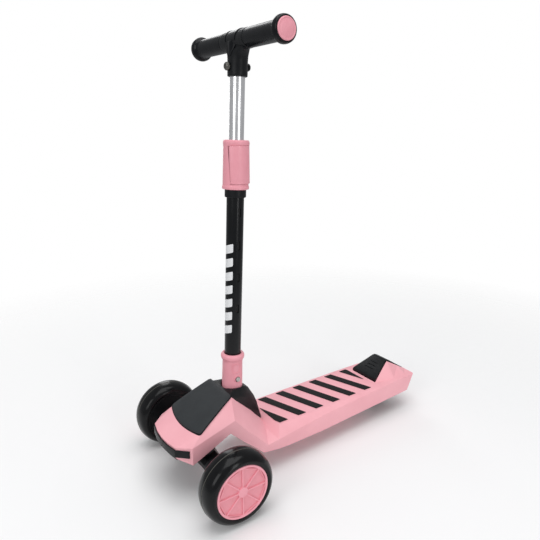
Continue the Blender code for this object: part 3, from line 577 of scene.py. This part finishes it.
def make_collar_badge(finishes):
    """The embossed rounded rectangle above the collar's screw."""
    badge = frame_plate("collar_badge", BADGE_HALF, 8.0, 0.9, 1.3)
    cross_cut(badge, (-BADGE_HALF, 0, 0), (BADGE_HALF, 0, 0), 8, (1, 0, 0))
    bend_onto(badge, lambda point: on_stem_surface(point, 16.7, BADGE_HEADING, BADGE_Z))
    show(badge, "deck", "pink_trim", finishes["trim"])


DASH_COUNT = 7
DASH_FIRST_Z = 258.5
DASH_PITCH = 22.9
DASH_HALF = 9.0
DASH_HEADING = math.radians(-76)


def make_dashes(finishes):
    """Seven slanted white dashes printed down the tube."""
    for number in range(DASH_COUNT):
        corners = [(-DASH_HALF, -9.6), (DASH_HALF, -4.4), (DASH_HALF, 9.6), (-DASH_HALF, 4.4)]
        dash = plate(f"printed_dash_{number + 1}", rounded_outline(corners, 1.8, 4), 0.12)
        cross_cut(dash, (-DASH_HALF, 0, 0), (DASH_HALF, 0, 0), 10, (1, 0, 0))
        height = DASH_FIRST_Z + DASH_PITCH * number
        bend_onto(dash, lambda point: on_stem_surface(point, OUTER_R + 0.01, DASH_HEADING, height))
        show(dash, "deck", "black_paint", finishes["white"])


WINDOW_BACK_X = 6.6           # leaves room for the press panel's travel
WINDOW_AIR = 0.35


def make_sleeve(finishes):
    low, high = along_stem(491.2), along_stem(566.6)
    bore, narrow = OUTER_R + 0.3, 11.9
    profile = [(bore, low), (20.6, low), (21.4, low + 1.0), (21.4, low + 4.5), (20.6, low + 6.0),
               (20.2, high - 9.0), (20.8, high - 6.0), (20.8, high - 3.0), (19.2, high), (narrow, high),
               (narrow, high - 8.0), (bore, high - 8.0)]
    sleeve = turned("height_clamp", profile, STEM_FOOT, STEM_DIR, hollow=True, radius=1.2)
    button_low, button_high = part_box("height_button")
    y_low, y_high = ((value - AXLE_GROUND.y) / MM for value in (button_low.y, button_high.y))
    z_low, z_high = button_low.z / MM, button_high.z / MM
    low_corner = (WINDOW_BACK_X, y_low - WINDOW_AIR, z_low - WINDOW_AIR)
    high_corner = (30.0, y_high + WINDOW_AIR, z_high + WINDOW_AIR)
    cut(sleeve, block("window_tool", low_corner, high_corner))
    show(sleeve, "deck", "pink_trim", finishes["trim"], "clamp_sleeve")
    button = remade("height_button", "press_panel", 0.9, sharp=35.0, segments=4, flat=0.1)
    show(button, "height_button", "pink_trim", finishes["trim"], "height_button")


# ---------------------------------------------------------------- handlebar

BAR_Z = 709.4
BAR_HALF = 125.2
TEE_HALF = 33.0
TEE_BOLT_Z = 672.7


def make_inner_tube(finishes):
    low, high = along_stem(330), along_stem(690)
    profile = [(10.2, low), (11.6, low), (11.6, high), (10.2, high)]
    tube = turned("silver_stem", profile, STEM_FOOT, STEM_DIR, hollow=True, radius=0.2)
    show(tube, "handlebar", "silver_tube", finishes["silver"], "inner_tube")


def make_tee(finishes):
    """The T moulding: a socket that flares into the saddle, blended into one smooth skin."""
    bar = stem_at(BAR_Z)
    rings = [(14.8, 14.8, 658.5), (15.4, 15.4, 659.4), (15.4, 15.4, 676.0), (15.8, 15.3, 681.0),
             (17.2, 15.1, 686.0), (19.8, 14.8, 690.0), (23.2, 14.2, 693.5), (27.2, 12.8, 696.5),
             (31.5, 10.4, 699.0), (32.4, 8.0, 704.0)]
    tee = drawn_up("tee_moulding", [(x, y, along_stem(z)) for x, y, z in rings], STEM_FOOT, STEM_DIR, 96)
    saddle = cylinder_tool("tee_saddle", bar, X_DIR, -TEE_HALF, TEE_HALF, 14.4, 128)
    take(tee)
    saddle.select_set(True)
    bpy.ops.object.join()
    blend = tee.modifiers.new("blend", "REMESH")
    blend.mode = "VOXEL"
    blend.voxel_size = 0.55 * MM
    bpy.ops.object.modifier_apply(modifier=blend.name)
    relax = tee.modifiers.new("relax", "SMOOTH")
    relax.factor = 0.5
    relax.iterations = 24
    bpy.ops.object.modifier_apply(modifier=relax.name)
    settle(tee, 60.0)
    show(tee, "handlebar", "black_plastic", finishes["moulded"], "handle_tee")


def front_of_tee(point, lift):
    """Wrap a flat point over the bar from its top, then down the front of the neck."""
    bar = stem_at(BAR_Z)
    radius = 14.4 + lift
    down = -point.y
    bar_side = math.radians(100)
    if down <= 14.4 * bar_side:
        angle = down / 14.4
        return bar + Vector((point.x, -radius * math.sin(angle), radius * math.cos(angle))) * MM
    low = 14.4 * math.cos(bar_side) - (down - 14.4 * bar_side)
    height = BAR_Z + low
    out = math.sqrt(max(0.0, 15.4 ** 2 - point.x ** 2)) + lift
    return stem_at(height) + Vector((point.x, -out, 0.0)) * MM


def make_front_trim(finishes):
    """Two raised lines run down the front of the T and meet below, with a slightly sunk shield between."""
    side = [(15.6, 5.0), (15.0, -10.0), (12.8, -24.0), (8.4, -35.0), (3.0, -45.0)]
    outline = side + [(-x, y) for x, y in reversed(side)]
    shield = plate("tee_shield", rounded_outline(outline, 3.0, 4), 0.5)
    cross_cut(shield, (0, -45, 0), (0, 5, 0), 36, (0, 1, 0))
    cross_cut(shield, (-16, 0, 0), (16, 0, 0), 8, (1, 0, 0))
    bend_onto(shield, lambda point: front_of_tee(point, point.z - 0.25))
    show(shield, "handlebar", "black_plastic", finishes["grip"], "handle_front_trim")
    for name, sign in (("left", 1.0), ("right", -1.0)):
        inner = [(sign * (x - 0.8), y) for x, y in side]
        outer = [(sign * (x + 0.8), y - 0.4) for x, y in side]
        line = plate(f"tee_line_{name}", inner + outer[::-1], 1.3, bevel=0.25)
        cross_cut(line, (0, -46, 0), (0, 5, 0), 40, (0, 1, 0))
        bend_onto(line, lambda point: front_of_tee(point, point.z - 0.4))
        show(line, "handlebar", "black_plastic", finishes["moulded"])


def make_grips(finishes):
    bar = stem_at(BAR_Z)
    start = TEE_HALF + 0.3
    grip = [(11.3, start), (13.7, start), (14.05, start + 1.0), (14.05, 107.0), (15.2, 109.0), (17.6, 111.2),
            (18.5, 113.4), (18.6, 117.0), (18.0, 120.4), (16.6, 122.2), (15.2, 122.6), (15.2, 117.0),
            (11.3, 117.0)]
    cap = [(8.6, 114.0), (8.6, 117.4), (14.9, 117.4), (14.9, 122.8), (14.2, 123.9), (12.9, 124.0),
           (12.4, 123.7), (9.0, 124.5), (4.5, 125.0), (0.4, BAR_HALF)]
    for side, sign in (("left", 1.0), ("right", -1.0)):
        piece = turned(f"hand_grip_{side}", grip, bar, sign * X_DIR, hollow=True, radius=1.4)
        show(piece, "handlebar", "grip_rubber", finishes["grip"], f"grip_{side}")
        disc = turned(f"grip_cap_{side}", cap, bar, sign * X_DIR, radius=0.4)
        show(disc, "handlebar", "pink_trim", finishes["trim"], f"end_cap_{side}")


def make_tee_bolt(finishes):
    place = stem_at(TEE_BOLT_Z)
    head = [(5.9, -16.2), (6.1, -18.6), (5.2, -20.6), (3.4, -21.5)]
    bolt = turned("tee_bolt_head", head, place, Y_DIR, 48, radius=0.5)
    cut(bolt, cylinder_tool("socket_tool", place, Y_DIR, -24.0, -19.4, 2.9, 6))
    show(bolt, "handlebar", "steel", finishes["dark_steel"])
    cap = [(5.6, 16.2), (5.8, 18.4), (4.8, 20.3), (2.0, 20.8)]
    nut = turned("tee_cap_nut", cap, place, Y_DIR, 48, radius=0.5)
    show(nut, "handlebar", "black_plastic", finishes["moulded"], "tee_nut")


# ---------------------------------------------------------------- truck and wheels

FRONT_R = 60.0
FRONT_W = 43.0
FRONT_MIDDLE_X = 150.0 - FRONT_W / 2
RIM_R = 44.0
REAR_R = 40.0
REAR_W = 26.0
REAR_RIM_R = 28.0
SPOKES = 8


def make_truck(finishes):
    beam = remade("truck_beam", "truck_arm", 2.2, sharp=20.0, segments=4)
    show(beam, "truck", "black_plastic", finishes["moulded"], "truck_beam")


def tyre_profile(radius, width, bore):
    """Half a tyre section from the inner rim to the tread, then its mirror."""
    half = width / 2
    wall = radius - bore
    side = [(bore, half - 1.2), (bore + 0.10 * wall, half - 0.3), (bore + 0.26 * wall, half),
            (bore + 0.40 * wall, half - 0.4), (bore + 0.56 * wall, 0.90 * half),
            (bore + 0.72 * wall, 0.79 * half), (bore + 0.85 * wall, 0.62 * half),
            (bore + 0.93 * wall, 0.42 * half), (radius - 0.35, 0.2 * half)]
    return side + [(r, -x) for r, x in reversed(side)]


def make_tyre(side, centre, outward, sizes, body, finishes, node):
    """A tyre from its (radius, width, bore), with the parting line round its tread."""
    radius = sizes[0]
    tyre = turned(f"tyre_{side}", tyre_profile(*sizes), centre, outward, 144, hollow=True, radius=1.6)
    show(tyre, body, "smoke_tyre", finishes["tyre"], node)
    line = [(radius - 0.8, 0.9), (radius - 0.1, 0.7), (radius, 0.3), (radius, -0.3), (radius - 0.1, -0.7),
            (radius - 0.8, -0.9)]
    seam = turned(f"tyre_seam_{side}", line, centre, outward, 144, hollow=True, radius=0.1)
    show(seam, body, "smoke_tyre", finishes["seam"])


def spoke_frame(name, radius, width, height):
    """Eight ribs from a hub to an eight-sided ring, cut from one flat fan of wedges."""
    let_go()
    bpy.ops.mesh.primitive_circle_add(vertices=SPOKES, radius=radius * MM, fill_type="TRIFAN",
                                      location=(0, 0, 0))
    obj = bpy.context.object
    obj.name = name
    edit(obj)
    bpy.ops.mesh.select_mode(type="FACE")
    bpy.ops.mesh.select_all(action="SELECT")
    bpy.ops.mesh.inset(thickness=width * MM, use_individual=True)
    bpy.ops.mesh.delete(type="FACE")
    bpy.ops.mesh.select_all(action="SELECT")
    bpy.ops.mesh.extrude_region_move(TRANSFORM_OT_translate={"value": (0, 0, height * MM)})
    bpy.ops.mesh.select_all(action="SELECT")
    bpy.ops.mesh.normals_make_consistent(inside=False)
    bpy.ops.mesh.select_all(action="DESELECT")
    bpy.ops.mesh.select_mode(type="EDGE")
    bpy.ops.mesh.edges_select_sharp(sharpness=math.radians(50))
    bpy.ops.mesh.bevel(offset=0.35 * MM, segments=2, affect="EDGES", clamp_overlap=True)
    bpy.ops.object.mode_set(mode="OBJECT")
    return obj


def stand(obj, place, direction, spin=0.0):
    """Turn a piece made flat on the ground so that its Z points along a direction."""
    turn = direction.to_track_quat("Z", "Y").to_matrix().to_4x4() @ Matrix.Rotation(spin, 4, "Z")
    obj.matrix_world = Matrix.Translation(place) @ turn
    return settle(obj)


def make_hub_cover(side, centre, outward, body, finishes):
    plate_profile = [(8.0, 16.9), (43.0, 16.9), (44.0, 17.8), (44.0, 20.0), (41.0, 20.0), (40.3, 18.3),
                     (2.0, 18.3)]
    cover = turned(f"hub_plate_{side}", plate_profile, centre, outward, 144, radius=0.35)
    # the sunk plate takes the darker pink, a painted shade
    show(cover, body, "pink_trim", finishes["shaded_recess"], f"hub_cover_{side}")
    ring = [(40.2, 18.0), (44.05, 18.0), (44.05, 20.6), (43.4, 21.4), (41.4, 21.4), (40.4, 20.6)]
    rim = turned(f"hub_rim_{side}", ring, centre, outward, 144, hollow=True, radius=0.5)
    show(rim, body, "pink_trim", finishes["trim"])
    ribs = spoke_frame(f"hub_ribs_{side}", 41.8, 1.0, 2.6)
    stand(ribs, centre + outward * (18.1 * MM), outward)
    show(ribs, body, "pink_trim", finishes["trim"])
    boss_rings = [(9.2, 9.2, 18.1), (8.9, 8.9, 20.9), (8.2, 8.2, 21.4)]
    boss = drawn_up(f"hub_boss_{side}", boss_rings, centre, outward, SPOKES)
    show(boss, body, "pink_trim", finishes["trim"])


def make_wheel_back(side, centre, outward, body, finishes):
    """The dark inner side of a front wheel: a black disc with small windows onto the red core."""
    core = [(12.0, -12.5), (15.0, -12.5), (16.0, -5.0), (39.5, -5.0), (40.5, -16.2), (RIM_R, -16.2),
            (RIM_R, 16.5), (12.0, 16.5)]
    red = turned(f"red_core_{side}", core, centre, outward, 96, hollow=True, radius=0.4)
    show(red, body, "red_core", finishes["red"], f"front_core_{side}")
    disc = [(13.0, -13.6), (37.5, -13.6), (39.5, -17.0), (43.9, -17.0), (43.9, -16.6), (40.1, -16.6),
            (38.2, -11.8), (13.0, -11.8)]
    back = turned(f"wheel_back_{side}", disc, centre, outward, 96, hollow=True, radius=0.3)
    for number in range(SPOKES):
        angle = 2 * math.pi * (number + 0.5) / SPOKES
        out = Vector((0.0, math.cos(angle), math.sin(angle)))
        for reach, hole in ((23.0, 4.6), (31.0, 5.6)):
            place = centre + out * (reach * MM)
            cut(back, cylinder_tool("window_tool", place, outward, -16.0, -10.0, hole, 3))
    show(back, body, "black_plastic", finishes["moulded"])


def make_front_wheel(side, sign, finishes):
    centre = at(sign * FRONT_MIDDLE_X, 0.0, FRONT_R)
    outward = sign * X_DIR
    body = f"front_wheel_{side}"
    make_tyre(side, centre, outward, (FRONT_R, FRONT_W, RIM_R + 0.3), body, finishes, f"front_tyre_{side}")
    make_hub_cover(side, centre, outward, body, finishes)
    make_wheel_back(side, centre, outward, body, finishes)


def make_rear_wheel(finishes):
    centre = middle("rear_tyre")
    make_tyre("rear", centre, X_DIR, (REAR_R, REAR_W, REAR_RIM_R + 0.3), "rear_wheel", finishes, "rear_tyre")
    core = [(11.3, 11.5), (15.0, 11.5), (16.0, 5.0), (23.6, 5.0), (24.6, 11.5), (28.0, 11.5)]
    profile = core + [(r, -x) for r, x in reversed(core)]
    red = turned("red_core_rear", profile, centre, X_DIR, 96, hollow=True, radius=0.5)
    show(red, "rear_wheel", "red_core", finishes["red"], "rear_core")


# ---------------------------------------------------------------- foot brake

PEDAL_FRONT = (393.0, 83.0)
PEDAL_RIDGE = (433.0, 105.4)


def make_pedal(finishes):
    pedal = remade("brake_pedal", "foot_brake", 1.3, sharp=25.0)
    slope = math.atan2(PEDAL_RIDGE[1] - PEDAL_FRONT[1], PEDAL_RIDGE[0] - PEDAL_FRONT[0])
    for share, half in ((0.34, 11.5), (0.52, 10.5), (0.70, 9.5)):
        y = PEDAL_FRONT[0] + share * (PEDAL_RIDGE[0] - PEDAL_FRONT[0])
        z = PEDAL_FRONT[1] + share * (PEDAL_RIDGE[1] - PEDAL_FRONT[1])
        let_go()
        bpy.ops.mesh.primitive_cube_add(size=1.0, location=at(0, y, z), rotation=(slope, 0, 0),
                                        scale=Vector((2 * half, 1.7, 2.4)) * MM)
        groove = settle(bpy.context.object)
        cut(pedal, groove)
    show(pedal, "brake", "black_plastic", finishes["moulded"], "brake_pedal")


# ---------------------------------------------------------------- studio

FLOOR_SOLID_R = 0.45
FLOOR_GONE_R = 1.3


def make_floor():
    let_go()
    bpy.ops.mesh.primitive_plane_add(size=14.0, location=(0, 0, -0.0005))
    floor = bpy.context.object
    floor.name = "studio_floor"
    pale = Finish("pale_floor", (0.96, 0.96, 0.96), 0.8, specular=0.1).mottle(900, (0.95, 0.95, 0.95))
    distance = pale.node("ShaderNodeVectorMath", operation="LENGTH")
    pale.link(pale.place, distance.inputs[0])
    fade = pale.ranged(distance.outputs["Value"], 0.0, 1.0, FLOOR_SOLID_R, FLOOR_GONE_R)
    clear = pale.node("ShaderNodeBsdfTransparent")
    blend = pale.node("ShaderNodeMixShader")
    pale.link(fade, blend.inputs["Fac"])
    pale.link(pale.shader.outputs["BSDF"], blend.inputs[1])
    pale.link(clear.outputs["BSDF"], blend.inputs[2])
    pale.link(blend.outputs["Shader"], pale.tree.nodes["Material Output"].inputs["Surface"])
    floor.data.materials.append(pale.material)


def add_light(name, place, aim, size, power, tint=(1.0, 1.0, 1.0)):
    light = bpy.data.lights.new(name, "AREA")
    light.shape = "RECTANGLE"
    light.size, light.size_y = size
    light.energy = power
    light.color = tint
    obj = bpy.data.objects.new(name, light)
    obj.location = place
    obj.rotation_euler = (Vector(aim) - Vector(place)).to_track_quat("-Z", "Y").to_euler()
    bpy.context.scene.collection.objects.link(obj)


BACKDROP_STRENGTH = 1.0
ROOM_STRENGTH = 0.4


def make_studio():
    world = bpy.data.worlds.new("studio")
    world.use_nodes = True
    tree = world.node_tree
    backdrop = tree.nodes["Background"]
    backdrop.inputs["Color"].default_value = (1.0, 1.0, 1.0, 1.0)
    backdrop.inputs["Strength"].default_value = BACKDROP_STRENGTH
    room = tree.nodes.new("ShaderNodeBackground")
    room.inputs["Color"].default_value = (0.97, 0.98, 1.0, 1.0)
    room.inputs["Strength"].default_value = ROOM_STRENGTH
    seen = tree.nodes.new("ShaderNodeLightPath")
    mix = tree.nodes.new("ShaderNodeMixShader")
    tree.links.new(seen.outputs["Is Camera Ray"], mix.inputs["Fac"])
    tree.links.new(room.outputs["Background"], mix.inputs[1])
    tree.links.new(backdrop.outputs["Background"], mix.inputs[2])
    tree.links.new(mix.outputs["Shader"], tree.nodes["World Output"].inputs["Surface"])
    bpy.context.scene.world = world
    bpy.context.scene.view_settings.view_transform = "Standard"
    aim = (0.0, -0.05, 0.3)
    add_light("overhead", (0.2, -0.2, 2.4), aim, (2.0, 2.0), 30.0)
    add_light("front_soft", (0.9, -2.6, 1.5), aim, (1.2, 1.6), 17.0)
    add_light("side_soft", (2.8, 0.2, 1.0), aim, (0.7, 2.2), 18.0)
    add_light("far_soft", (-2.4, 0.6, 1.3), aim, (0.7, 2.0), 12.0)


CAMERA_PLACE = (0.7103, -0.5471, 0.5891)
CAMERA_AZIMUTH = 55.6621
CAMERA_ELEVATION = 15.7135
CAMERA_LENS = 34.40


def make_camera():
    camera = bpy.data.cameras.new("view")
    camera.lens = CAMERA_LENS
    camera.sensor_width = 36.0
    obj = bpy.data.objects.new("view", camera)
    obj.location = CAMERA_PLACE
    obj.rotation_euler = Euler((math.radians(90 - CAMERA_ELEVATION), 0.0, math.radians(CAMERA_AZIMUTH)))
    bpy.context.scene.collection.objects.link(obj)
    bpy.context.scene.camera = obj


# ---------------------------------------------------------------- whole scooter

make_camera()
make_studio()
make_floor()
finishes = make_finishes()
finish_frame_nodes(finishes)
make_deck(finishes)
make_hood(finishes)
make_strips(finishes)
make_stem(finishes)
make_dashes(finishes)
make_sleeve(finishes)
make_inner_tube(finishes)
make_tee(finishes)
make_front_trim(finishes)
make_grips(finishes)
make_tee_bolt(finishes)
make_truck(finishes)
make_front_wheel("left", 1.0, finishes)
make_front_wheel("right", -1.0, finishes)
make_rear_wheel(finishes)
make_pedal(finishes)
let_go()
